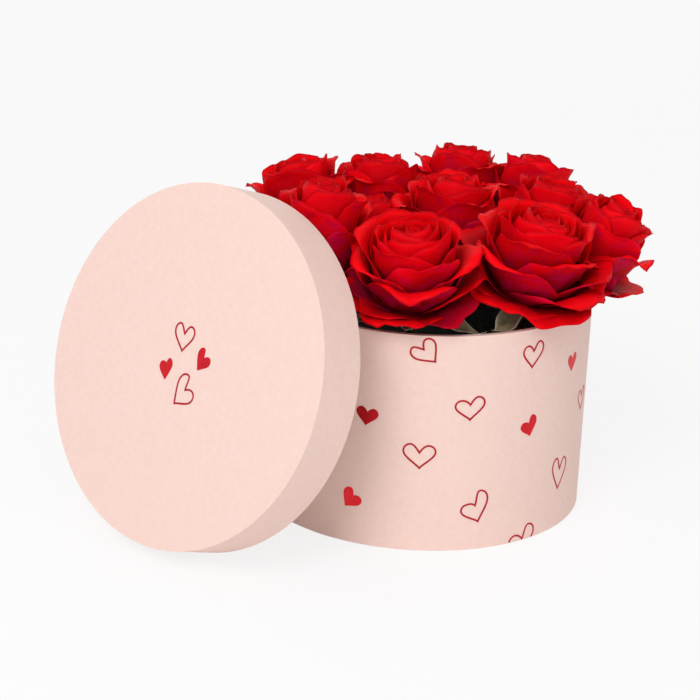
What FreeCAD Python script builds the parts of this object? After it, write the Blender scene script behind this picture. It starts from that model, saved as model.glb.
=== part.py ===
import FreeCAD, Part
import math
import os
from collections import namedtuple

# Round flower box of rigid board covered in printed paper, with its lid off and standing beside it.
# Millimetres. +Z is up, the origin is the centre of the box's underside, and the lid stands on the -Y side.

# ---- box ----
box_radius = 90.0            # over the paper
box_height = 118.0
wall_board = 2.0             # grey board of the wall
base_board_thickness = 2.0
paper = 0.25                 # covering and lining papers
glue = 0.05                  # film between two layers
rim_turn_in = 20.0           # wrap folded over the rim and down the inside
base_turn_under = 12.0       # wrap folded under the base
base_paper_inset = 3.0       # underside paper stops short of the edge
lining_drop = 4.0            # lining stops this far below the rim

# ---- lid ----
lid_clearance = 0.6          # between the box and the lid's inside, all round
lid_board = 2.0
lid_depth = 27.2
lid_turn_in = 19.0
lid_lean = 18.3              # degrees from upright
lid_shift = -30.0            # along X, from the box's centre to the lid's
prop_clearance = 0.3         # between the lid's edge and the rose it leans to

# ---- insert that the flowers stand in ----
liner_clearance = 0.8        # between the liner and the box's lining
liner_wall = 1.0
liner_drop = 10.0            # liner's edge below the rim
foam_drop = 18.0             # foam's top below the rim
foam_clearance = 0.3
stem_radius = 2.6
stem_clearance = 0.2
stem_depth = 45.0            # pushed into the foam

# ---- roses: the bloom is a goblet with a domed crown ----
seat_radius = 6.0            # where the bloom sits on its green hip
hip_height = 9.0
# name: angle round the box, reach and half width as shares of the box's radius, then millimetres from
# the rim up to the widest point, dome above it, goblet below it, and the stem's outward splay in degrees;
# the prop rose's rise and goblet are None because they follow from where the lid's edge is
roses = {
    "rose_01": (-56.1, 0.777, 0.283, 28.0, 24.0, 20.0, 12.0),
    "rose_02": (-100.5, 0.790, 0.289, None, 6.0, None, 0.0),
    "rose_03": (-136.0, 0.697, 0.165, 32.0, 12.0, 26.0, 8.0),
    "rose_04": (-163.0, 0.860, 0.230, 42.0, 12.0, 32.0, 13.0),
    "rose_05": (161.0, 0.620, 0.235, 40.0, 14.0, 32.0, 6.0),
    "rose_06": (118.0, 0.830, 0.220, 42.0, 14.0, 34.0, 12.0),
    "rose_07": (89.0, 0.950, 0.220, 42.0, 12.0, 34.0, 17.0),
    "rose_08": (57.0, 0.755, 0.240, 38.0, 14.0, 30.0, 10.0),
    "rose_09": (31.0, 1.050, 0.225, 40.0, 13.0, 36.0, 24.0),
    "rose_10": (1.0, 0.780, 0.295, 28.0, 26.0, 20.0, 12.0),
    "rose_11": (74.0, 0.161, 0.265, 41.0, 14.0, 33.0, 2.0),
    "rose_12": (213.7, 0.320, 0.183, 32.0, 12.0, 26.0, 4.0),
}
prop_rose = "rose_02"        # upright at the rim: its widest point is level with the lid's edge
prop_seat_rise = 9.0         # its seat above the rim, from which its goblet reaches up

# ---- foil hearts ----
foil = 0.12
stroke = 1.0                 # line of an outlined heart
inset_steps = 16             # points that carry the inner edge of its line
repeats = 3                  # the wall's print runs this often round the box
point_slope = (0.75, 0.95)   # a heart's right side as it leaves the point, across and up
notch_slope = (-0.55, -0.85)    # and as it comes down into the notch
# angle round the box, the point's height as a share of the box's, then width, left and right lobe
# heights and notch height in millimetres, and tilt in degrees
outlined_hearts = [
    (-45.2, 0.880, 14.5, 14.5, 13.5, 10.5, 44.0),
    (-11.0, 0.818, 14.0, 13.0, 15.0, 10.5, -3.0),
    (23.7, 0.496, 14.0, 13.0, 13.0, 9.0, 0.0),
    (-33.0, 0.610, 16.5, 12.0, 13.5, 9.8, 2.0),
    (-48.8, 0.386, 17.5, 14.5, 13.5, 10.2, 2.0),
    (-27.9, 0.127, 16.5, 12.5, 18.0, 11.0, 14.0),
    (7.4, 0.182, 15.0, 19.0, 18.0, 13.0, -3.0),
    (-9.2, -0.068, 18.0, 13.0, 16.5, 10.0, 8.0),
]
filled_hearts = [
    (10.9, 0.737, 9.5, 9.5, 10.0, 7.0, -2.0),
    (-9.8, 0.500, 11.0, 8.8, 11.5, 7.6, 10.0),
    (-67.3, 0.564, 12.0, 10.0, 10.0, 7.6, -6.0),
    (-73.3, 0.169, 11.5, 11.0, 10.0, 8.2, -34.0),
]
# lid: across and up from the face's centre to the point, then as above
outlined_lid_hearts = [
    (-2.8, 6.4, 14.5, 15.0, 14.0, 10.5, 6.0),
    (0.4, -20.0, 15.5, 17.5, 14.0, 11.5, -32.0),
]
filled_lid_hearts = [
    (-9.6, -9.8, 9.0, 9.8, 11.2, 8.8, 12.0),
    (10.6, 0.4, 10.5, 11.8, 9.8, 7.8, -20.0),
]

up = FreeCAD.Vector(0, 0, 1)
origin = FreeCAD.Vector(0, 0, 0)
Rose = namedtuple("Rose", "widest axis depth dome half_width")
parts = {}


def disc(radius, bottom, thickness):
    return Part.makeCylinder(radius, thickness, FreeCAD.Vector(0, 0, bottom))


def ring(outer, inner, bottom, height):
    return disc(outer, bottom, height).cut(disc(inner, bottom, height))


def turned(corners):
    """Solid of revolution about Z from (radius, height) corners."""
    points = [FreeCAD.Vector(r, 0, z) for r, z in corners]
    face = Part.Face(Part.makePolygon(points + points[:1]))
    return face.revolve(origin, up, 360)


def cylindrical(angle, reach, height):
    turn = math.radians(angle)
    return FreeCAD.Vector(reach * math.cos(turn), reach * math.sin(turn), height)


# ---- box ----

board_outer = box_radius - paper - glue
board_inner = board_outer - wall_board
turn_in_inner = board_inner - glue - paper
lining_inner = turn_in_inner - glue - paper
base_level = 2 * paper                     # underside of the boards, over the two papers
floor_level = base_level + base_board_thickness
rim_level = box_height - paper


def build_box():
    parts["wall_board"] = ring(board_outer, board_inner, base_level, rim_level - base_level)
    parts["base_board"] = disc(board_inner - glue, base_level, base_board_thickness)
    parts["wall_wrap"] = turned([
        (box_radius, paper), (box_radius, box_height), (turn_in_inner, box_height),
        (turn_in_inner, box_height - rim_turn_in), (turn_in_inner + paper, box_height - rim_turn_in),
        (turn_in_inner + paper, rim_level), (box_radius - paper, rim_level),
        (box_radius - paper, base_level), (box_radius - base_turn_under, base_level),
        (box_radius - base_turn_under, paper),
    ])
    parts["base_paper"] = disc(box_radius - base_paper_inset, 0, paper)
    parts["base_lining"] = disc(board_inner - glue, floor_level, paper)
    lining_bottom = floor_level + paper
    parts["wall_lining"] = ring(turn_in_inner - glue, lining_inner, lining_bottom,
                                box_height - lining_drop - lining_bottom)


# ---- where the lid stands: on its open edge, leaning to the prop rose ----

lid_inner = box_radius + lid_clearance
lid_board_inner = lid_inner + paper + glue
lid_board_outer = lid_board_inner + lid_board
lid_radius = lid_board_outer + glue + paper
lean_sine = math.sin(math.radians(lid_lean))
lean_cosine = math.cos(math.radians(lid_lean))


def prop_across():
    """Where the prop rose meets the lid's round edge, across from its top, as shares of its radius."""
    angle, reach = roses[prop_rose][:2]
    across = (cylindrical(angle, reach * box_radius, 0).x - lid_shift) / lid_radius
    return across, math.sqrt(1 - across ** 2)


def lid_edge_height():
    return lid_radius * lean_cosine * (1 + prop_across()[1])


def lid_place():
    rose = place_rose(prop_rose)
    across, upward = prop_across()
    slope = lean_sine * across / upward
    edge_y = rose.widest.y - (rose.half_width + prop_clearance) * math.hypot(1, slope)
    centre = FreeCAD.Vector(lid_shift, edge_y - lid_radius * lean_sine * upward, lid_radius * lean_cosine)
    return FreeCAD.Placement(centre, FreeCAD.Rotation(FreeCAD.Vector(1, 0, 0), 90 - lid_lean))


# ---- insert ----

liner_bottom = floor_level + paper
liner_outer = lining_inner - liner_clearance
liner_inner = liner_outer - liner_wall
foam_bottom = liner_bottom + liner_wall
foam_top = box_height - foam_drop


def place_rose(name):
    """A rose's widest point, unit axis leaning outward by its splay, goblet depth, dome and half width."""
    angle, reach, half_width, rise, dome, depth, splay = roses[name]
    if name == prop_rose:
        rise = lid_edge_height() - box_height
        depth = rise - prop_seat_rise
    widest = cylindrical(angle, reach * box_radius, box_height + rise)
    lean = math.radians(splay)
    axis = cylindrical(angle, math.sin(lean), math.cos(lean))
    return Rose(widest, axis, depth, dome, half_width * box_radius)


def stem_ends(name):
    """Top of the stem under the hip, and its foot in the foam."""
    rose = place_rose(name)
    top = rose.widest - rose.axis * (rose.depth + hip_height)
    foot = top - rose.axis * ((top.z - foam_top) / rose.axis.z + stem_depth)
    return top, foot


def bloom(name):
    rose = place_rose(name)
    wide, depth, top = rose.half_width, rose.depth, rose.depth + rose.dome
    corners = [(0, 0), (seat_radius, 0), (0.70 * wide, 0.4 * depth), (wide, depth),
               (0.84 * wide, depth + 0.60 * rose.dome), (0.45 * wide, top), (0, top)]
    spots = [FreeCAD.Vector(r, 0, z) for r, z in corners]
    edges = [Part.LineSegment(spots[0], spots[1]).toShape(),
             Part.Arc(spots[1], spots[2], spots[3]).toShape(),
             Part.Arc(spots[3], spots[4], spots[5]).toShape(),
             Part.LineSegment(spots[5], spots[6]).toShape(),
             Part.LineSegment(spots[6], spots[0]).toShape()]
    return Part.Face(Part.Wire(edges)).revolve(origin, up, 360)


def hip():
    """Green hip under the petals, widening to the bloom's seat."""
    neck = stem_radius + 0.6
    return turned([(0, 0), (neck, 0), (seat_radius - 0.6, 0.45 * hip_height), (seat_radius, hip_height),
                   (0, hip_height)])


def stand(shape, base, axis):
    shape.Placement = FreeCAD.Placement(base, FreeCAD.Rotation(up, axis))
    return shape


def build_insert():
    liner = disc(liner_outer, liner_bottom, box_height - liner_drop - liner_bottom)
    parts["liner"] = liner.cut(disc(liner_inner, foam_bottom, box_height))
    foam = disc(liner_inner - foam_clearance, foam_bottom, foam_top - foam_bottom)
    for name in roses:
        axis = place_rose(name).axis
        top, foot = stem_ends(name)
        length = (top - foot).Length
        hole = Part.makeCylinder(stem_radius + stem_clearance, length, foot, axis)
        foam = foam.cut(hole)
        parts[name + "_stem"] = Part.makeCylinder(stem_radius, length, foot, axis)
        parts[name + "_calyx"] = stand(hip(), top, axis)
        parts[name + "_bloom"] = stand(bloom(name), top + axis * hip_height, axis)
    parts["foam"] = foam


# ---- hearts ----

def heart_side(side, width, lobe, notch, inset):
    """One side of a heart from its point round the lobe to its notch, moved inward by the inset."""
    reach = 0.5 * width
    spots = [(0, 0), (0.60 * reach, 0.34 * lobe), (reach, 0.72 * lobe), (0.84 * reach, 0.93 * lobe),
             (0.50 * reach, lobe), (0, notch)]
    curve = Part.BSplineCurve()
    leaving, arriving = [FreeCAD.Vector(x, 0, z) for x, z in (point_slope, notch_slope)]
    curve.interpolate(Points=[FreeCAD.Vector(x, 0, z) for x, z in spots],
                      InitialTangent=leaving * reach, FinalTangent=arriving * reach)
    if inset:
        first, last = curve.FirstParameter, curve.LastParameter
        moved = []
        for step in range(1, inset_steps):
            where = first + (last - first) * step / inset_steps
            along = curve.tangent(where)[0]
            spot = curve.value(where) + FreeCAD.Vector(-along.z, 0, along.x) * inset
            if spot.x > 0.3 * inset:
                moved.append(spot)
        foot = FreeCAD.Vector(0, 0, inset * leaving.Length / leaving.x)
        fork = FreeCAD.Vector(0, 0, notch + inset * arriving.Length / arriving.x)
        curve.interpolate([foot] + moved + [fork])
    if side < 0:
        curve.mirror(origin, up)
    return curve.toShape()


def heart_face(width, left_lobe, right_lobe, notch, inset=0.0):
    right = heart_side(1, width, right_lobe, notch, inset)
    left = heart_side(-1, width, left_lobe, notch, inset)
    return Part.Face(Part.Wire([right, left]))


def heart_block(spec, outlined, thickness):
    """Heart standing in the XZ plane with its point at the origin, as thick as given along -Y."""
    width, left_lobe, right_lobe, notch, tilt = spec
    block = heart_face(width, left_lobe, right_lobe, notch).extrude(FreeCAD.Vector(0, -thickness, 0))
    if outlined:
        hole = heart_face(width, left_lobe, right_lobe, notch, stroke)
        block = block.cut(hole.extrude(FreeCAD.Vector(0, -thickness, 0)))
    block.rotate(origin, FreeCAD.Vector(0, 1, 0), -tilt)
    return block


def wall_hearts(hearts, outlined):
    """Hearts wrapped on the box's wall, repeated round it."""
    skin = ring(box_radius + foil, box_radius, base_level, box_height - base_level)
    found = []
    for angle, height, *spec in hearts:
        block = heart_block(spec, outlined, box_radius + 5)
        block.translate(FreeCAD.Vector(0, 0, height * box_height))
        heart = block.common(skin)
        for turn in range(repeats):
            copy = heart.copy()
            copy.rotate(origin, up, angle + 90 + turn * 360 / repeats)
            found.extend(copy.Solids)
    return Part.makeCompound(found)


def lid_hearts(hearts, outlined):
    """Hearts flat on the lid's face, in the lid's own frame."""
    found = []
    for across, height, *spec in hearts:
        block = heart_block(spec, outlined, foil)
        block.rotate(origin, FreeCAD.Vector(1, 0, 0), -90)
        block.translate(FreeCAD.Vector(across, height, lid_depth))
        found.extend(block.Solids)
    return Part.makeCompound(found)


# ---- lid, modelled closed face up with its open edge at z = 0 ----

def build_lid():
    top = lid_depth - paper
    board_bottom = top - lid_board
    pieces = {
        "lid_band_board": ring(lid_board_outer, lid_board_inner, paper, top - paper),
        "lid_top_board": disc(lid_board_inner - glue, board_bottom, lid_board),
        "lid_top_paper": disc(lid_radius, top, paper),
        "lid_lining": disc(lid_board_inner - glue, board_bottom - paper, paper),
        "lid_band_wrap": turned([
            (lid_radius, 0), (lid_radius, top), (lid_radius - paper, top), (lid_radius - paper, paper),
            (lid_inner + paper, paper), (lid_inner + paper, lid_turn_in), (lid_inner, lid_turn_in),
            (lid_inner, 0),
        ]),
        "lid_hearts_outline": lid_hearts(outlined_lid_hearts, True),
        "lid_hearts_filled": lid_hearts(filled_lid_hearts, False),
    }
    place = lid_place()
    for name, shape in pieces.items():
        shape.Placement = place.multiply(shape.Placement)
        parts[name] = shape


build_box()
build_insert()
parts["wall_hearts_outline"] = wall_hearts(outlined_hearts, True)
parts["wall_hearts_filled"] = wall_hearts(filled_hearts, False)
build_lid()

os.makedirs("parts", exist_ok=True)
for name, shape in parts.items():
    shape.exportStep("parts/" + name + ".step")
    box = shape.BoundBox
    print(name, len(shape.Solids), shape.isValid(), round(shape.Volume),
          [round(v, 1) for v in (box.XMin, box.XMax, box.YMin, box.YMax, box.ZMin, box.ZMax)])
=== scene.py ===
import math
import random

import bpy
import numpy as np
from mathutils import Matrix, Vector, noise


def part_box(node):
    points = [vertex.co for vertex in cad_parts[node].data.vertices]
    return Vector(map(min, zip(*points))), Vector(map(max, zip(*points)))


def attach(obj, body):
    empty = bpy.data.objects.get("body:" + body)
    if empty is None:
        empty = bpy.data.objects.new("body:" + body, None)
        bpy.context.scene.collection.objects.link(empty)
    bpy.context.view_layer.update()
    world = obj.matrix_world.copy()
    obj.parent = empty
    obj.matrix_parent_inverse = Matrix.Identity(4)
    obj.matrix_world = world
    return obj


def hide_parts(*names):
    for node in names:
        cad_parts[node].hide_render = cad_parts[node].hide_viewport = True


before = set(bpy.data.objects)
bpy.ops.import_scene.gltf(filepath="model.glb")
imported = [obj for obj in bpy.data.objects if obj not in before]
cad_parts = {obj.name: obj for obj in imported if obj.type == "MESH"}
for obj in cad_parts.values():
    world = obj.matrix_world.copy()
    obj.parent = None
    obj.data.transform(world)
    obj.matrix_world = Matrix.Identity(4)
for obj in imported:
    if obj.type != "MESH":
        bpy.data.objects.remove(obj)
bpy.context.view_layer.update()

mm = 0.001


# small helpers

def linear(hexColour):
    # sRGB hex to linear colour
    channels = [int(hexColour[i:i + 2], 16) / 255 for i in (1, 3, 5)]
    lit = [c / 12.92 if c < 0.04045 else ((c + 0.055) / 1.055) ** 2.4 for c in channels]
    return (*lit, 1.0)


def grey(level):
    return (level, level, level, 1.0)


def addNode(tree, kind, inputs=None, stops=(), **settings):
    # one node with its settings; an input gets a socket to link to, or a value, and a ramp gets its stops
    node = tree.nodes.new(kind)
    for name, value in settings.items():
        setattr(node, name, value)
    for name, value in (inputs or {}).items():
        if isinstance(value, bpy.types.NodeSocket):
            tree.links.new(value, node.inputs[name])
        else:
            node.inputs[name].default_value = value
    if stops:
        elements = node.color_ramp.elements
        while len(elements) < len(stops):
            elements.new(0.5)
        for element, (place, colour) in zip(elements, stops):
            element.position = place
            element.color = colour
    return node


def newMaterial(name, **shader):
    # a material whose Principled shader has its fixed values on its own sockets, and the place on the piece
    material = bpy.data.materials.new(name)
    material.use_nodes = True
    tree = material.node_tree
    tree.nodes.clear()
    surface = addNode(tree, "ShaderNodeBsdfPrincipled", shader)
    addNode(tree, "ShaderNodeOutputMaterial", {"Surface": surface.outputs[0]})
    place = addNode(tree, "ShaderNodeTexCoord").outputs["Object"]
    return material, tree, surface, place


def coverSurface(tree, surface, colour, height, strength, depthMm):
    # the shader's colour, which is None where one colour is all over it, and the relief of its grain
    if colour is not None:
        tree.links.new(colour, surface.inputs["Base Color"])
    relief = addNode(tree, "ShaderNodeBump",
                     {"Height": height, "Strength": strength, "Distance": depthMm * mm})
    tree.links.new(relief.outputs[0], surface.inputs["Normal"])


# camera: where a person stands who looks down at the box from the front, past the lid

viewpoint = {"azimuth": 40.0, "distance": 1.142, "height": 0.480, "heading": 41.97, "pitch": 19.45,
             "roll": 2.52, "lens": 114.1, "clipStart": 0.05, "clipEnd": 50}


def makeCamera():
    turn = math.radians(viewpoint["azimuth"])
    place = Vector((math.sin(turn), -math.cos(turn), 0)) * viewpoint["distance"]
    place.z = viewpoint["height"]
    lens = bpy.data.cameras.new("camera")
    lens.lens = viewpoint["lens"]
    lens.clip_start = viewpoint["clipStart"]
    lens.clip_end = viewpoint["clipEnd"]
    camera = bpy.data.objects.new("camera", lens)
    bpy.context.scene.collection.objects.link(camera)
    camera.matrix_world = (Matrix.Translation(place)
                           @ Matrix.Rotation(math.radians(viewpoint["heading"]), 4, "Z")
                           @ Matrix.Rotation(math.radians(90 - viewpoint["pitch"]), 4, "X")
                           @ Matrix.Rotation(math.radians(viewpoint["roll"]), 4, "Z"))
    bpy.context.scene.camera = camera


# materials

paperLook = {"pink": "#f4d5cb", "pinkDeep": "#f1d0c5", "roughness": 0.62, "cloudMm": 3.0, "fibreMm": 0.35,
             "reliefMm": 0.05, "relief": 0.12}


def makePrintedPaper():
    # uncoated art paper, printed flat pink and glued down: chalky, with a faint cloudiness and fibres;
    # real fibres are finer, and are drawn this coarse to show
    material, tree, surface, place = newMaterial("printedArtPaper", Roughness=paperLook["roughness"], IOR=1.5)
    cloud = addNode(tree, "ShaderNodeTexNoise",
                    {"Vector": place, "Scale": 1 / (paperLook["cloudMm"] * mm), "Detail": 4.0})
    fibre = addNode(tree, "ShaderNodeTexNoise",
                    {"Vector": place, "Scale": 1 / (paperLook["fibreMm"] * mm), "Detail": 2.0})
    patch = addNode(tree, "ShaderNodeValToRGB", {"Fac": cloud.outputs["Fac"]},
                    [(0.35, grey(0)), (0.7, grey(1))])
    colour = addNode(tree, "ShaderNodeMix",
                     {0: patch.outputs[0], 6: linear(paperLook["pink"]), 7: linear(paperLook["pinkDeep"])},
                     data_type="RGBA")
    coverSurface(tree, surface, colour.outputs[2], fibre.outputs["Fac"], paperLook["relief"],
                 paperLook["reliefMm"])
    return material


liningLook = {"white": "#f3ece4", "warm": "#e6dcd2", "roughness": 0.7, "cloudMm": 12, "reliefMm": 0.1,
              "relief": 0.15}


def makeLiningPaper():
    # plain white wood-free paper pasted inside: matt and slightly warm, a little cockled by the paste
    material, tree, surface, place = newMaterial("pastedLiningPaper", Roughness=liningLook["roughness"],
                                                 IOR=1.5)
    cloud = addNode(tree, "ShaderNodeTexNoise",
                    {"Vector": place, "Scale": 1 / (liningLook["cloudMm"] * mm), "Detail": 5.0})
    colour = addNode(tree, "ShaderNodeMix",
                     {0: cloud.outputs["Fac"], 6: linear(liningLook["white"]), 7: linear(liningLook["warm"])},
                     data_type="RGBA")
    coverSurface(tree, surface, colour.outputs[2], cloud.outputs["Fac"], liningLook["relief"],
                 liningLook["reliefMm"])
    return material


boardLook = {"dark": "#77726b", "middle": "#948f87", "light": "#b3ada3", "roughness": 0.85, "fleckMm": 0.8,
             "reliefMm": 0.1, "relief": 0.3}


def makeGreyBoard():
    # recycled grey board, cut with a blade: flecked with darker and lighter fibres
    material, tree, surface, place = newMaterial("cutGreyBoard", Roughness=boardLook["roughness"], IOR=1.5)
    fleck = addNode(tree, "ShaderNodeTexNoise",
                    {"Vector": place, "Scale": 1 / (boardLook["fleckMm"] * mm), "Detail": 3.0})
    colour = addNode(tree, "ShaderNodeValToRGB", {"Fac": fleck.outputs["Fac"]},
                     [(0.3, linear(boardLook["dark"])), (0.55, linear(boardLook["middle"])),
                      (0.75, linear(boardLook["light"]))])
    coverSurface(tree, surface, colour.outputs[0], fleck.outputs["Fac"], boardLook["relief"],
                 boardLook["reliefMm"])
    return material


# the line reds are the fill's reds darkened: painted shade for the thin pressed outlines
foilLook = {"red": "#e8323c", "shade": "#bc1e28", "lineRedPaintedShade": "#cf3842", "lineDeepPaintedShade": "#a42a32",
            "roughest": 0.42, "smoothest": 0.24, "grainMm": 0.5, "pressMm": 4.0, "reliefMm": 0.04,
            "relief": 0.25}


def makeHotFoil(name, red, shade):
    # hot-stamped metallic foil: bright where it faces light, with the paper's grain pressed through it;
    # a thin line gets darker reds, painted shade for its pressed edge turning the foil away from the light
    material, tree, surface, place = newMaterial(name, Metallic=1.0)
    press = addNode(tree, "ShaderNodeTexNoise",
                    {"Vector": place, "Scale": 1 / (foilLook["pressMm"] * mm), "Detail": 3.0})
    grain = addNode(tree, "ShaderNodeTexNoise",
                    {"Vector": place, "Scale": 1 / (foilLook["grainMm"] * mm), "Detail": 2.0})
    colour = addNode(tree, "ShaderNodeMix", {0: press.outputs["Fac"], 6: linear(red), 7: linear(shade)},
                     data_type="RGBA")
    rough = addNode(tree, "ShaderNodeMapRange",
                    {0: press.outputs["Fac"], 3: foilLook["smoothest"], 4: foilLook["roughest"]})
    tree.links.new(rough.outputs[0], surface.inputs["Roughness"])
    coverSurface(tree, surface, colour.outputs[2], grain.outputs["Fac"], foilLook["relief"],
                 foilLook["reliefMm"])
    return material


# foot is painted shade: the dark a petal's lower part shows deep in the crevices between petals
petalLook = {"heart": "#ff0410", "face": "#ff0413", "back": "#ee0214", "foot": "#6e0010",
             "bruise": "#b00444", "plum": "#7c0630", "edge": "#98000e", "sheen": "#ff1420",
             "roughness": 0.55, "blotchMm": 7, "cellMm": 0.9, "lengthMm": 31.2, "veinMm": 1.2,
             "darkest": 0.86, "lightest": 1.12, "reliefMm": 0.25, "relief": 0.35}


def makeRosePetal():
    # rose petal, a living skin of tiny domed cells: velvety, deeper on its back, darkened towards its foot by
    # painted shade for the crevices between petals, magenta where an outer petal has aged, and dark along a
    # drying edge
    material, tree, surface, place = newMaterial("freshRosePetal", Roughness=petalLook["roughness"], IOR=1.4)
    surface.inputs["Sheen Weight"].default_value = 0.08
    surface.inputs["Sheen Roughness"].default_value = 0.5
    surface.inputs["Sheen Tint"].default_value = linear(petalLook["sheen"])
    surface.inputs["Subsurface Weight"].default_value = 0.1
    surface.inputs["Subsurface Radius"].default_value = (1.0, 0.08, 0.06)
    surface.inputs["Subsurface Scale"].default_value = 1.5 * mm
    surface.inputs["Specular IOR Level"].default_value = 0.08
    mapping = addNode(tree, "ShaderNodeAttribute", attribute_name="petalMap")
    tone = addNode(tree, "ShaderNodeAttribute", attribute_name="petalTone")
    along, across, outer = addNode(tree, "ShaderNodeSeparateColor", {0: mapping.outputs["Color"]}).outputs[:3]
    chance, back, hanging = addNode(tree, "ShaderNodeSeparateColor", {0: tone.outputs["Color"]}).outputs[:3]
    blotch = addNode(tree, "ShaderNodeTexNoise",
                     {"Vector": place, "Scale": 1 / (petalLook["blotchMm"] * mm), "Detail": 3.0})
    outerBack = addNode(tree, "ShaderNodeMath", {0: outer, 1: back}, operation="MULTIPLY").outputs[0]
    aged = addNode(tree, "ShaderNodeMath", {0: outerBack, 1: blotch.outputs["Fac"]}, operation="MULTIPLY")
    faded = addNode(tree, "ShaderNodeMath", {0: hanging, 1: chance}, operation="MULTIPLY")
    lip = addNode(tree, "ShaderNodeMath", {0: along, 1: 6.0}, operation="POWER").outputs[0]
    side = addNode(tree, "ShaderNodeMath", {0: across, 1: 10.0}, operation="POWER").outputs[0]
    drying = addNode(tree, "ShaderNodeMath", {0: lip, 1: side}, operation="MAXIMUM")
    # each coat's colour, what it follows, and how much of it lies at which value of that
    coats = [
        ("face", outer, None),    # from the heart of the flower to its outer petals
        ("back", back, None),
        # painted shade: each petal darkened towards its foot, as if it lay deep between the other petals
        ("foot", along, [(0.0, 1), (0.5, 0.9), (0.76, 0.4), (0.95, 0)]),
        ("bruise", aged.outputs[0], [(0.36, 0), (0.62, 0.8)]),    # patches on the outermost petals' backs
        ("plum", faded.outputs[0], [(0.25, 0), (0.55, 0.85)]),    # nearly all over some that hang low
        ("edge", drying.outputs[0], [(0.8, 0), (1.0, 0.6)]),
    ]
    colour = linear(petalLook["heart"])
    for coat, share, stops in coats:
        if stops:
            share = addNode(tree, "ShaderNodeValToRGB", {"Fac": share},
                            [(value, grey(level)) for value, level in stops]).outputs[0]
        colour = addNode(tree, "ShaderNodeMix", {0: share, 6: colour, 7: linear(petalLook[coat])},
                         data_type="RGBA").outputs[2]
    shade = addNode(tree, "ShaderNodeMapRange",
                    {0: chance, 3: petalLook["darkest"], 4: petalLook["lightest"]}).outputs[0]
    tint = addNode(tree, "ShaderNodeHueSaturation", {"Value": shade, "Color": colour})
    # veins run from the foot to the lip, fanned across the petal, and real cells are finer than these,
    # which are drawn as coarse as they need to show
    vein = addNode(tree, "ShaderNodeTexNoise",
                   {"Vector": mapping.outputs["Vector"], "Scale": petalLook["lengthMm"] / petalLook["veinMm"],
                    "Detail": 2.0})
    cells = addNode(tree, "ShaderNodeTexNoise",
                    {"Vector": place, "Scale": 1 / (petalLook["cellMm"] * mm), "Detail": 3.0})
    height = addNode(tree, "ShaderNodeMath", {0: vein.outputs["Fac"], 1: cells.outputs["Fac"]},
                     operation="ADD")
    coverSurface(tree, surface, tint.outputs[0], height.outputs[0], petalLook["relief"],
                 petalLook["reliefMm"])
    return material


greenLooks = {
    "waxySepal": {"light": "#9c9273", "dark": "#5f5c3e", "edge": "#d8ccb4", "roughness": 0.5, "grainMm": 0.6},
    "waxyStem": {"light": "#4f6b34", "dark": "#2f4a22", "edge": "#4f6b34", "roughness": 0.42,
                 "grainMm": 0.8},
}
greenSkin = {"patchMm": 5, "reliefMm": 0.15, "relief": 0.3}


def makeGreenSkin(name):
    # living green skin of a sepal or stem: waxy, greyer where the bloom of wax lies on it, pale at its edge
    look = greenLooks[name]
    material, tree, surface, place = newMaterial(name, Roughness=look["roughness"], IOR=1.42)
    patch = addNode(tree, "ShaderNodeTexNoise",
                    {"Vector": place, "Scale": 1 / (greenSkin["patchMm"] * mm), "Detail": 4.0})
    grain = addNode(tree, "ShaderNodeTexNoise",
                    {"Vector": place, "Scale": 1 / (look["grainMm"] * mm), "Detail": 2.0})
    green = addNode(tree, "ShaderNodeValToRGB", {"Fac": patch.outputs["Fac"]},
                    [(0.3, linear(look["dark"])), (0.7, linear(look["light"]))])
    mapping = addNode(tree, "ShaderNodeAttribute", attribute_name="leafMap")
    across = addNode(tree, "ShaderNodeSeparateColor", {0: mapping.outputs["Color"]}).outputs[1]
    edgeShare = addNode(tree, "ShaderNodeValToRGB", {"Fac": across}, [(0.72, grey(0)), (0.98, grey(0.9))])
    colour = addNode(tree, "ShaderNodeMix",
                     {0: edgeShare.outputs[0], 6: green.outputs[0], 7: linear(look["edge"])},
                     data_type="RGBA")
    coverSurface(tree, surface, colour.outputs[2], grain.outputs["Fac"], greenSkin["relief"],
                 greenSkin["reliefMm"])
    return material


foamLook = {"dark": "#24362c", "light": "#3d5446", "roughness": 0.75, "cellMm": 1.1, "patchMm": 9,
            "reliefMm": 0.6, "relief": 0.8}


def makeFloralFoam():
    # soaked phenolic foam, cut with a knife: dark wet green with open crumbling cells, which are finer on
    # real foam and drawn this coarse to show
    material, tree, surface, place = newMaterial("soakedFloralFoam", Roughness=foamLook["roughness"], IOR=1.4)
    cells = addNode(tree, "ShaderNodeTexVoronoi", {"Vector": place, "Scale": 1 / (foamLook["cellMm"] * mm)})
    patch = addNode(tree, "ShaderNodeTexNoise",
                    {"Vector": place, "Scale": 1 / (foamLook["patchMm"] * mm), "Detail": 4.0})
    colour = addNode(tree, "ShaderNodeMix",
                     {0: patch.outputs["Fac"], 6: linear(foamLook["dark"]), 7: linear(foamLook["light"])},
                     data_type="RGBA")
    coverSurface(tree, surface, colour.outputs[2], cells.outputs["Distance"], foamLook["relief"],
                 foamLook["reliefMm"])
    return material


trayLook = {"black": "#26292b", "smoothest": 0.28, "roughest": 0.46, "rippleMm": 14, "scuffMm": 1.2,
            "reliefMm": 0.5, "relief": 0.3}


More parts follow.
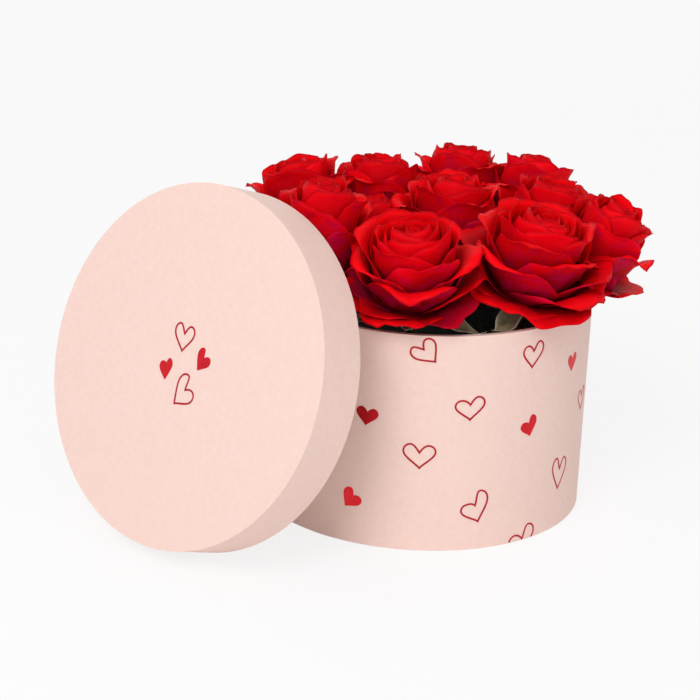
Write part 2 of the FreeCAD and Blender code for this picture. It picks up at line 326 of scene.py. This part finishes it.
def makeBlackTray():
    # thermoformed black polypropylene: smooth and slightly rippled from the mould, dulled by fine scuffs
    material, tree, surface, place = newMaterial("thermoformedPolypropylene", IOR=1.49)
    surface.inputs["Base Color"].default_value = linear(trayLook["black"])
    ripple = addNode(tree, "ShaderNodeTexNoise",
                     {"Vector": place, "Scale": 1 / (trayLook["rippleMm"] * mm), "Detail": 2.0})
    scuff = addNode(tree, "ShaderNodeTexNoise",
                    {"Vector": place, "Scale": 1 / (trayLook["scuffMm"] * mm), "Detail": 4.0})
    rough = addNode(tree, "ShaderNodeMapRange",
                    {0: scuff.outputs["Fac"], 3: trayLook["smoothest"], 4: trayLook["roughest"]})
    tree.links.new(rough.outputs[0], surface.inputs["Roughness"])
    coverSurface(tree, surface, None, ripple.outputs["Fac"], trayLook["relief"], trayLook["reliefMm"])
    return material


# which finish each kept CAD piece has
frameFinishes = {
    "printedPaper": ("wall_wrap", "base_paper", "lid_band_wrap", "lid_top_paper"),
    "greyBoard": ("wall_board", "base_board", "lid_band_board", "lid_top_board"),
    "liningPaper": ("wall_lining", "base_lining", "lid_lining"),
    "foilFill": ("wall_hearts_filled", "lid_hearts_filled"),
    # the outlines get a copy of the foil with painted shade
    "foilLinePaintedShade": ("wall_hearts_outline", "lid_hearts_outline"),
    "blackTray": ("liner",),
    "floralFoam": ("foam",),
}


def finishFrameNodes(materials):
    for finish, names in frameFinishes.items():
        for name in names:
            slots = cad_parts[name].data.materials
            slots.clear()
            slots.append(materials[finish])


# roses

def measureRose(name):
    # a rose's axis, seat, half width and height from its CAD bloom, and where its stem and hip lie
    stemLow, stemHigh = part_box(name + "_stem")
    hipLow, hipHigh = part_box(name + "_calyx")
    stemMiddle = (stemLow + stemHigh) / 2
    axis = ((hipLow + hipHigh) / 2 - stemMiddle).normalized()
    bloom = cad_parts[name + "_bloom"].data.vertices
    spots = [v.co - stemMiddle for v in bloom]
    along = [spot.dot(axis) for spot in spots]
    out = [(spot - axis * rise).length for spot, rise in zip(spots, along)]
    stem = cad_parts[name + "_stem"].data.vertices
    halfStem = max((v.co - stemMiddle).dot(axis) for v in stem)
    return {"axis": axis, "seat": stemMiddle + axis * min(along), "halfWidth": max(out),
            "height": max(along) - min(along), "stemTop": stemMiddle + axis * halfStem,
            "stemFoot": stemMiddle - axis * halfStem, "hipHeight": min(along) - halfStem}


# how each head of petals is turned in degrees, how many petals it has, how many more hang under it, and
# how far its lips stand out past its seat's width, as a share of that
roseShapes = {
    "rose_01": {"turn": 20, "petals": 30, "skirt": 6, "spread": 1.27},
    "rose_02": {"turn": 75, "petals": 26, "skirt": 3, "spread": 1.12},
    "rose_03": {"turn": 130, "petals": 18, "skirt": 2, "spread": 1.25},
    "rose_04": {"turn": 200, "petals": 26, "skirt": 4, "spread": 1.50},
    "rose_05": {"turn": 310, "petals": 25, "skirt": 3, "spread": 1.46},
    "rose_06": {"turn": 45, "petals": 25, "skirt": 4, "spread": 1.50},
    "rose_07": {"turn": 160, "petals": 25, "skirt": 4, "spread": 1.47},
    "rose_08": {"turn": 250, "petals": 26, "skirt": 3, "spread": 1.45},
    "rose_09": {"turn": 95, "petals": 25, "skirt": 4, "spread": 1.32},
    "rose_10": {"turn": 285, "petals": 31, "skirt": 7, "spread": 1.33},
    "rose_11": {"turn": 15, "petals": 29, "skirt": 4, "spread": 1.36},
    "rose_12": {"turn": 220, "petals": 18, "skirt": 2, "spread": 1.25},
}
# from the innermost petal, rank 0, to the outermost, 1, and those that hang below, 1.2: how far out it
# bulges and where its lip is, as shares of the head's width and height, and how far the lip rolls over
petalRings = {
    "rank": (0.0, 0.2, 0.45, 0.6, 0.75, 0.9, 1.0, 1.2),
    "bulge": (0.10, 0.27, 0.44, 0.51, 0.58, 0.63, 0.64, 0.50),
    "lip": (0.03, 0.12, 0.33, 0.53, 0.72, 0.86, 0.94, 1.02),
    "rise": (0.93, 1.00, 1.00, 0.94, 0.83, 0.66, 0.48, 0.10),
    "roll": (5, 12, 22, 60, 85, 105, 110, 45),
}
headForm = {
    "rise": 1.03,             # the petals' tips stand this much above the plain bloom
    "goldenAngle": 137.5,     # from each petal to the next, in degrees
    "turnError": 9,
    "skirtRanks": (1.08, 1.2),
    "skirtTurnError": 14,
    "toneStep": 0.2,          # rank past 1 at which a petal hangs fully
}
# lengths in mm, and shares of the head's width or height
petalForm = {
    "rows": 16, "columns": 20, "cupSteps": 30, "lipSteps": 15, "thickness": 0.35, "edgeShare": 0.35,
    "seatRadius": 3.5, "leastRadius": 0.4, "point": 0.02, "pointWidth": 0.12, "reach": 0.98,
    "outlineFrom": 0.09, "outlineSpan": 0.55, "tuck": 0.07, "wingLift": 0.05, "rippleDepth": 0.03,
    "frillHeight": 0.5, "dentMm": 10.0, "dentSeed": 7,
}
# what each is at the heart of the flower, and how much more it is at the outermost petal
petalGrowth = {
    "foot": (0.3, 0.7), "lipRadius": (0.05, 0.08), "halfWidth": (0.50, 0.32), "cornerDrop": (0.10, 0.22),
    "widestWrap": (165, -75), "dent": (0.5, 1.2), "ripple": (0.2, 1.0),
}
# the least and the most by chance
petalChance = {
    "lipReach": (0.93, 1.05), "lipRise": (0.96, 1.03), "lipRoll": (0.75, 1.15), "lipRadius": (0.85, 1.2),
    "halfWidth": (0.92, 1.08), "ripples": (1.5, 2.6), "frills": (15, 19),
}


def grown(name, rank):
    start, more = petalGrowth[name]
    return start + more * rank


def petalProfile(rank, shape, rng):
    # a petal's middle line as (radius, height) in mm: a cup that ends in a lip rolled outward
    width, tall = shape["width"], shape["height"]
    bulge, lip, rise, roll = (np.interp(rank, petalRings["rank"], petalRings[name])
                              for name in ("bulge", "lip", "rise", "roll"))
    bulge *= width
    lip *= width * rng.uniform(*petalChance["lipReach"])
    rise *= tall * rng.uniform(*petalChance["lipRise"])
    foot = petalForm["seatRadius"] * grown("foot", min(rank, 1))
    corners = np.array([(foot, 0), (bulge, 0.03 * tall), (max(bulge, 0.6 * lip), 0.78 * rise), (lip, rise)])
    share = np.linspace(0, 1, petalForm["cupSteps"])[:, None]
    cup = (corners[0] * (1 - share) ** 3 + 3 * corners[1] * share * (1 - share) ** 2
           + 3 * corners[2] * share ** 2 * (1 - share) + corners[3] * share ** 3)
    way = corners[3] - corners[2]
    turn = math.radians(roll * rng.uniform(*petalChance["lipRoll"]))
    radius = width * grown("lipRadius", rank) * rng.uniform(*petalChance["lipRadius"])
    steps = petalForm["lipSteps"]
    leans = math.atan2(way[0], way[1]) + turn * np.linspace(0, 1, steps)
    strides = np.stack([np.sin(leans), np.cos(leans)], axis=1) * radius * turn / steps
    line = np.concatenate([cup, corners[3] + np.cumsum(strides, axis=0)])
    line[:, 0] = np.maximum(line[:, 0], petalForm["leastRadius"])
    return line


def sheetGrid(rows, columns):
    # how far along, from 0 to 1, and across, from -1 to 1, each point of a sheet lies
    along = np.linspace(0, 1, rows + 1)[:, None] * np.ones(columns + 1)
    across = np.ones(rows + 1)[:, None] * np.linspace(-1, 1, columns + 1)
    return along, across


def petalSurface(rank, angle, shape, rng):
    # the petal's middle surface as a grid of points in mm, with its place along and across
    line = petalProfile(rank, shape, rng)
    width, opened = shape["width"], min(rank, 1)
    steps = np.hypot(*np.diff(line, axis=0).T)
    travel = np.concatenate([[0], np.cumsum(steps)]) / steps.sum()
    along, across = sheetGrid(petalForm["rows"], petalForm["columns"])
    # a broad top with rounded corners and a slight point in its middle
    drop = grown("cornerDrop", opened) * (0.45 * across ** 2 + 0.55 * np.abs(across) ** 5)
    point = petalForm["point"] * rank * np.exp(-(across / petalForm["pointWidth"]) ** 2)
    reach = np.clip(along * (petalForm["reach"] - drop + point), 0, 1)
    radius = np.interp(reach, travel, line[:, 0])
    height = np.interp(reach, travel, line[:, 1])
    # narrow at the foot and broadest above the middle, and an inner petal wraps further round
    outline = np.sin(math.pi * (petalForm["outlineFrom"] + petalForm["outlineSpan"] * along))
    halfWidth = width * grown("halfWidth", rank) * rng.uniform(*petalChance["halfWidth"]) * outline
    wrap = np.minimum(halfWidth / np.maximum(radius, 1.0), math.radians(grown("widestWrap", opened)))
    turn = angle + across * wrap
    # one edge tucks inside its neighbour and the other lies outside it, and both wings lift off
    radius = radius * (1 + petalForm["tuck"] * across * along)
    radius = radius + width * petalForm["wingLift"] * rank * np.abs(across) ** 3 * along
    ripples = rng.uniform(*petalChance["ripples"])
    phase = rng.uniform(0, 2 * math.pi)
    wave = np.sin(across * ripples * math.pi + phase) * along ** 3
    swell = np.cos(across * ripples * 2.3 + phase) * along ** 3
    frill = np.sin(across * rng.uniform(*petalChance["frills"]) + phase) * along ** 8
    radius = radius + width * petalForm["rippleDepth"] * grown("ripple", rank) * wave
    height = (height + frill * petalForm["frillHeight"] * opened
              + shape["height"] * petalForm["rippleDepth"] * rank * swell)
    grid = np.stack([radius * np.cos(turn), radius * np.sin(turn), height], axis=-1)
    return grid, along, np.abs(across)


def dentedGrid(grid, depth, grain, seed):
    # each point moved a little by smooth noise, so that no sheet is perfect
    moved = grid.copy()
    for index in np.ndindex(grid.shape[:2]):
        spot = Vector(grid[index]) / grain + Vector((seed, seed * 0.7, 0))
        moved[index] += np.array(noise.noise_vector(spot)) * depth
    return moved


def shellFromGrid(grid, thickness):
    # a closed thin shell round a surface: inner face, outer face and the edge between them
    normal = np.cross(np.gradient(grid, axis=1), np.gradient(grid, axis=0))
    normal /= np.maximum(np.linalg.norm(normal, axis=-1, keepdims=True), 1e-9)    # never by zero
    rows, columns = grid.shape[:2]
    taper = np.ones((rows, columns, 1))
    taper[-1, :] = taper[:, 0] = taper[:, -1] = petalForm["edgeShare"]
    half = normal * thickness * taper / 2
    points = np.concatenate([(grid + half).reshape(-1, 3), (grid - half).reshape(-1, 3)])
    count = rows * columns
    faces = []
    for r in range(rows - 1):
        for c in range(columns - 1):
            a = r * columns + c
            faces.append((a, a + 1, a + columns + 1, a + columns))
            faces.append((a + count, a + columns + count, a + columns + 1 + count, a + 1 + count))
    rim = list(range(columns))
    rim += [r * columns + columns - 1 for r in range(1, rows)]
    rim += [(rows - 1) * columns + c for c in range(columns - 2, -1, -1)]
    rim += [r * columns for r in range(rows - 2, 0, -1)]
    for first, second in zip(rim, rim[1:] + rim[:1]):
        faces.append((first, first + count, second + count, second))
    return points, faces


# in mm: how far above the rim petals and sepals lie, between which radii the rim is, and the lid's gap;
# leafFall is how steeply a sepal may go down outside the rim
rimRest = {"petals": 5.0, "leaves": 1.2, "leafFall": 0.5, "wallInside": 84.0, "wallOutside": 91.0,
           "lidClear": 0.6}


def measureRest():
    # the rim's height, and a point on the lid's open edge with the way from the lid to the roses
    spots = [v.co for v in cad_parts["lid_band_wrap"].data.vertices]
    top = max(spots, key=lambda spot: spot.y)
    foot = min(spots, key=lambda spot: spot.z)
    slope = Vector((0, top.y - foot.y, top.z - foot.z)).normalized()
    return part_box("wall_wrap")[1].z, np.array(top), np.array((0, slope.z, -slope.y))


def layIn(grid, place, rest, clear, fall):
    # points in mm to metres in their place: over the box's rim, and pressed back where the lid leans on them
    turn, shift = np.array(place)[:3, :3], np.array(place)[:3, 3]
    grid = grid @ turn.T + shift
    rim, lidEdge, fromLid = rest
    reach = np.hypot(grid[..., 0], grid[..., 1])
    inside = np.maximum(rimRest["wallInside"] * mm - reach, 0)
    outside = np.maximum(reach - rimRest["wallOutside"] * mm, 0)
    grid[..., 2] = np.maximum(grid[..., 2], rim + clear * mm - inside - fall * outside)
    depth = (grid - lidEdge) @ fromLid - rimRest["lidClear"] * mm
    return grid - np.minimum(depth, 0)[..., None] * fromLid


def meshPiece(name, points, faces, material):
    mesh = bpy.data.meshes.new(name)
    mesh.from_pydata([tuple(p) for p in points], [], faces)
    mesh.validate()
    mesh.materials.append(material)
    mesh.polygons.foreach_set("use_smooth", [True] * len(mesh.polygons))
    mesh.update()
    piece = bpy.data.objects.new(name, mesh)
    bpy.context.scene.collection.objects.link(piece)
    return piece


def placeOnAxis(base, axis):
    # millimetres to metres, standing on the base with +Z along the axis
    turn = axis.to_track_quat("Z", "Y").to_matrix().to_4x4()
    return Matrix.Translation(base) @ turn @ Matrix.Scale(mm, 4)


def addColours(piece, **layers):
    for label, values in layers.items():
        layer = piece.data.attributes.new(label, "FLOAT_COLOR", "POINT")
        layer.data.foreach_set("color", np.array(values, np.float32).ravel())


def makeBloom(name, shape, rose, rest, material):
    rng = random.Random(name)
    shape = dict(shape, width=rose["halfWidth"] / mm * shape["spread"],
                 height=rose["height"] / mm * headForm["rise"])
    heads, skirts = shape["petals"], shape["skirt"]
    first, last = headForm["skirtRanks"]
    ranks = [i / (heads - 1) for i in range(heads)]
    ranks += [first + (last - first) * i / skirts for i in range(skirts)]
    place = placeOnAxis(rose["seat"], rose["axis"])
    points, faces, maps, tones = [], [], [], []
    base = 0
    for index, rank in enumerate(ranks):
        error = rng.uniform(-headForm["turnError"], headForm["turnError"])
        angle = shape["turn"] + headForm["goldenAngle"] * index + error
        if index >= heads:
            error = rng.uniform(-headForm["skirtTurnError"], headForm["skirtTurnError"])
            angle = shape["turn"] + 360 * (index - heads) / skirts + error
        grid, along, across = petalSurface(rank, math.radians(angle), shape, rng)
        grid = dentedGrid(grid, grown("dent", rank), petalForm["dentMm"], rng.uniform(0, 50))
        grid = layIn(grid, place, rest, rimRest["petals"], 0.0)
        shell, shellFaces = shellFromGrid(grid, petalForm["thickness"] * mm)
        chance = rng.random()
        points.append(shell)
        faces.extend(tuple(i + base for i in face) for face in shellFaces)
        base += len(shell)
        hanging = max(rank - 1, 0.0) / headForm["toneStep"]
        for side in (1.0, 0.0):    # the petal's back, then its face
            for a, c in zip(along.ravel(), across.ravel()):
                maps.append((a, c, min(rank, 1.0), 1.0))
                tones.append((chance, side, hanging, 1.0))
    piece = meshPiece(name.replace("rose_", "roseBloom_"), np.concatenate(points), faces, material)
    addColours(piece, petalMap=maps, petalTone=tones)
    return piece


def turnedShell(rings, sides):
    # closed body of revolution from (radius, height) rings, capped at both ends
    points, faces = [], []
    for radius, height in rings:
        for s in range(sides):
            turn = 2 * math.pi * s / sides
            points.append((radius * math.cos(turn), radius * math.sin(turn), height))
    for r in range(len(rings) - 1):
        for s in range(sides):
            a, b = r * sides + s, r * sides + (s + 1) % sides
            faces.append((a, b, b + sides, a + sides))
    faces.append(tuple(range(sides - 1, -1, -1)))
    last = (len(rings) - 1) * sides
    faces.append(tuple(range(last, last + sides)))
    return np.array(points), faces


# radii in mm, each with how far below the seat it is as a share of the hip's height
hipRings = [(3.2, 1), (3.5, 0.92), (3.9, 0.8), (4.8, 0.62), (5.5, 0.42), (5.8, 0.22), (5.7, 0.08), (5.3, 0)]
hipSides = 20
# lengths in mm and angles from the axis in degrees; the sepal that points out of the box is shorter
sepalShape = {"count": 5, "length": 34.0, "outerShare": 0.55, "width": 11.5, "thickness": 0.45, "rows": 14,
              "columns": 8, "foot": (5.2, -1.0), "lengthShare": (0.85, 1.15), "start": (98, 110),
              "end": (100, 128), "tooth": 0.2, "teeth": 17, "curl": 0.25, "ripple": 0.9, "ripples": (7, 11),
              "twist": 0.7, "leastHalf": 0.15, "turnError": 0.15}


def sepalGrid(angle, share, rng):
    # a long leafy point that springs from the hip's top, falls away under the petals and curls
    length = sepalShape["length"] * share * rng.uniform(*sepalShape["lengthShare"])
    start = math.radians(rng.uniform(*sepalShape["start"]))
    droop = math.radians(rng.uniform(*sepalShape["end"]))
    rows = sepalShape["rows"]
    spots = [sepalShape["foot"]]
    for step in np.linspace(0, 1, rows + 1)[1:]:
        lean = start + (droop - start) * step
        radius, rise = spots[-1]
        spots.append((radius + math.sin(lean) * length / rows, rise + math.cos(lean) * length / rows))
    line = np.array(spots)
    along, across = sheetGrid(rows, sepalShape["columns"])
    half = sepalShape["width"] / 2 * (0.75 + 0.5 * np.sin(along * math.pi)) * (1 - along ** 1.8)
    half = half + sepalShape["leastHalf"]
    teeth = np.sin(along * sepalShape["teeth"] + rng.uniform(0, 6))
    sideways = across * half * (1 + sepalShape["tooth"] * teeth * along)
    # edges curl up, and one of them ripples
    ripple = np.sin(along * rng.uniform(*sepalShape["ripples"]) + rng.uniform(0, 6))
    curl = sepalShape["curl"] * half * across ** 2 + sepalShape["ripple"] * ripple * across * along
    twist = rng.uniform(-sepalShape["twist"], sepalShape["twist"]) * along ** 2
    x = line[:, 0][:, None] + 0 * across
    y = sideways * np.cos(twist)
    z = line[:, 1][:, None] + curl + sideways * np.sin(twist)
    grid = np.stack([x * math.cos(angle) - y * math.sin(angle), x * math.sin(angle) + y * math.cos(angle), z],
                    axis=-1)
    return grid, along, np.abs(across)


def makeCalyx(name, rose, rest, material):
    rng = random.Random(name + "calyx")
    height = rose["hipHeight"] / mm
    place = placeOnAxis(rose["seat"], rose["axis"])
    hip, faces = turnedShell([(radius, -share * height) for radius, share in hipRings], hipSides)
    points = [layIn(hip, place, rest, -height, 0.0)]
    edges = [(0.0, 0.0, 0.0, 1.0)] * len(hip)
    outward = place.to_3x3().inverted() @ Vector((rose["seat"].x, rose["seat"].y, 0))
    ahead = math.atan2(outward.y, outward.x)
    base = len(hip)
    for index in range(sepalShape["count"]):
        error = rng.uniform(-sepalShape["turnError"], sepalShape["turnError"])
        angle = ahead + 2 * math.pi * index / sepalShape["count"] + error
        share = sepalShape["outerShare"] if index == 0 else 1.0
        grid, along, across = sepalGrid(angle, share, rng)
        grid = layIn(grid, place, rest, rimRest["leaves"], rimRest["leafFall"])
        shell, shellFaces = shellFromGrid(grid, sepalShape["thickness"] * mm)
        faces.extend(tuple(i + base for i in face) for face in shellFaces)
        points.append(shell)
        base += len(shell)
        edges += [(a, c, 0.0, 1.0) for a, c in zip(along.ravel(), across.ravel())] * 2
    piece = meshPiece(name.replace("rose_", "roseCalyx_"), np.concatenate(points), faces, material)
    addColours(piece, leafMap=edges)
    return piece


# lengths in mm; a thorn is a four-sided point
stemShape = {"radius": 2.6, "waist": 2.25, "rings": 15, "sides": 14}
thornShape = {"count": 3, "firstBelowTop": 3.5, "spacing": 4.5, "spacingError": 1, "footRadius": 1.8,
              "tipRadius": 4.6, "tipDrop": 1.0, "halfWidth": 0.8, "halfHeight": 1.6}


def makeStem(name, rose, rest, material):
    rng = random.Random(name + "stem")
    length = (rose["stemTop"] - rose["stemFoot"]).length / mm
    swell = stemShape["radius"] - stemShape["waist"]
    rings = [(stemShape["waist"] + swell * abs(2 * share - 1), share * length)
             for share in np.linspace(0, 1, stemShape["rings"])]
    points, faces = turnedShell(rings, stemShape["sides"])
    points = list(points)
    for index in range(thornShape["count"]):
        below = thornShape["firstBelowTop"] + index * thornShape["spacing"]
        rise = length - below - rng.uniform(0, thornShape["spacingError"])
        turn = rng.uniform(0, 2 * math.pi)
        out = np.array((math.cos(turn), math.sin(turn), 0))
        side = np.array((-out[1], out[0], 0)) * thornShape["halfWidth"]
        up = np.array((0, 0, thornShape["halfHeight"]))
        foot = out * thornShape["footRadius"] + (0, 0, rise)
        tip = out * thornShape["tipRadius"] + (0, 0, rise - thornShape["tipDrop"])
        base = len(points)
        points += [foot + side, foot + up, foot - side, foot - up, tip]
        faces.extend([(base + i, base + 4, base + (i + 1) % 4) for i in range(4)])
        faces.append((base, base + 1, base + 2, base + 3))
    points = layIn(np.array(points), placeOnAxis(rose["stemFoot"], rose["axis"]), rest, -length, 0.0)
    return meshPiece(name.replace("rose_", "roseStem_"), points, faces, material)


def makeRoses(materials):
    noise.seed_set(petalForm["dentSeed"])    # unseeded, Blender's noise vectors start from the clock
    rest = measureRest()
    for name, shape in roseShapes.items():
        rose = measureRose(name)
        pieces = {
            "_bloom": (makeBloom(name, shape, rose, rest, materials["petal"]), "rose_petal"),
            "_calyx": (makeCalyx(name, rose, rest, materials["sepal"]), "calyx_green"),
            "_stem": (makeStem(name, rose, rest, materials["stem"]), "stem_green"),
        }
        for ending, (piece, slot) in pieces.items():
            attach(piece, "insert")
            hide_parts(name + ending)


# studio

studio = {"floorSize": 12.0, "floorWhite": 0.95, "floorGlow": 0.8, "worldLight": 0.56, "aimHeight": 0.08}
# degrees from the front and up, metres and watts
lamps = {
    "windowLamp": {"azimuth": 20, "elevation": 40, "distance": 2.2, "size": 1.1, "power": 19.4},
    "lowLamp": {"azimuth": 62, "elevation": 6, "distance": 2.4, "size": 1.6, "power": 8},
    "backLamp": {"azimuth": 225, "elevation": 22, "distance": 2.4, "size": 1.8, "power": 5.5},
}


def seenRays(tree):
    # 1 for a ray that goes straight to the eye, or there by a shiny or clear surface; 0 for a ray that lights
    rays = addNode(tree, "ShaderNodeLightPath").outputs
    seen = rays["Is Camera Ray"]
    for other in ("Is Glossy Ray", "Is Transmission Ray"):
        seen = addNode(tree, "ShaderNodeMath", {0: seen, 1: rays[other]}, operation="MAXIMUM").outputs[0]
    return seen


def makeFloor():
    # matt white floor that glows for the eye alone, so it looks nearly white and keeps a soft shadow
    size = studio["floorSize"]
    mesh = bpy.data.meshes.new("floor")
    mesh.from_pydata([(-size, -size, 0), (size, -size, 0), (size, size, 0), (-size, size, 0)], [],
                     [(0, 1, 2, 3)])
    floor = bpy.data.objects.new("floor", mesh)
    bpy.context.scene.collection.objects.link(floor)
    material = bpy.data.materials.new("paleStudioFloor")
    material.use_nodes = True
    tree = material.node_tree
    tree.nodes.clear()
    matt = addNode(tree, "ShaderNodeBsdfDiffuse", {"Color": grey(studio["floorWhite"])})
    glow = addNode(tree, "ShaderNodeEmission", {"Color": grey(1.0), "Strength": 1.0})
    share = addNode(tree, "ShaderNodeMath", {0: seenRays(tree), 1: studio["floorGlow"]},
                    operation="MULTIPLY")
    surface = addNode(tree, "ShaderNodeMixShader",
                      {0: share.outputs[0], 1: matt.outputs[0], 2: glow.outputs[0]})
    addNode(tree, "ShaderNodeOutputMaterial", {"Surface": surface.outputs[0]})
    mesh.materials.append(material)


def makeLamps():
    for name, lamp in lamps.items():
        light = bpy.data.lights.new(name, "AREA")
        light.shape = "DISK"
        light.size = lamp["size"]
        light.energy = lamp["power"]
        holder = bpy.data.objects.new(name, light)
        bpy.context.scene.collection.objects.link(holder)
        turn, rise = math.radians(lamp["azimuth"]), math.radians(lamp["elevation"])
        way = Vector((math.sin(turn) * math.cos(rise), -math.cos(turn) * math.cos(rise), math.sin(rise)))
        holder.location = way * lamp["distance"] + Vector((0, 0, studio["aimHeight"]))
        holder.rotation_euler = way.to_track_quat("Z", "Y").to_euler()


def makeWorld():
    # white for the eye and for reflections, and dimmer as light
    world = bpy.data.worlds.new("studioWorld")
    bpy.context.scene.world = world
    world.use_nodes = True
    tree = world.node_tree
    tree.nodes.clear()
    strength = addNode(tree, "ShaderNodeMapRange", {0: seenRays(tree), 3: studio["worldLight"], 4: 1.0})
    sky = addNode(tree, "ShaderNodeBackground", {"Color": grey(1.0), "Strength": strength.outputs[0]})
    addNode(tree, "ShaderNodeOutputWorld", {"Surface": sky.outputs[0]})


makeCamera()
print("camera placed")
materials = {
    "printedPaper": makePrintedPaper(),
    "liningPaper": makeLiningPaper(),
    "greyBoard": makeGreyBoard(),
    "foilFill": makeHotFoil("hotStampedFoil", foilLook["red"], foilLook["shade"]),
    "foilLinePaintedShade": makeHotFoil("hotStampedFoilPaintedShade", foilLook["lineRedPaintedShade"], foilLook["lineDeepPaintedShade"]),
    "petal": makeRosePetal(),
    "sepal": makeGreenSkin("waxySepal"),
    "stem": makeGreenSkin("waxyStem"),
    "floralFoam": makeFloralFoam(),
    "blackTray": makeBlackTray(),
}
finishFrameNodes(materials)
print("materials on the box, lid and tray")
makeRoses(materials)
print("roses made:", len(roseShapes))
makeFloor()
makeLamps()
makeWorld()
bpy.context.scene.view_settings.view_transform = "Standard"
print("studio ready")
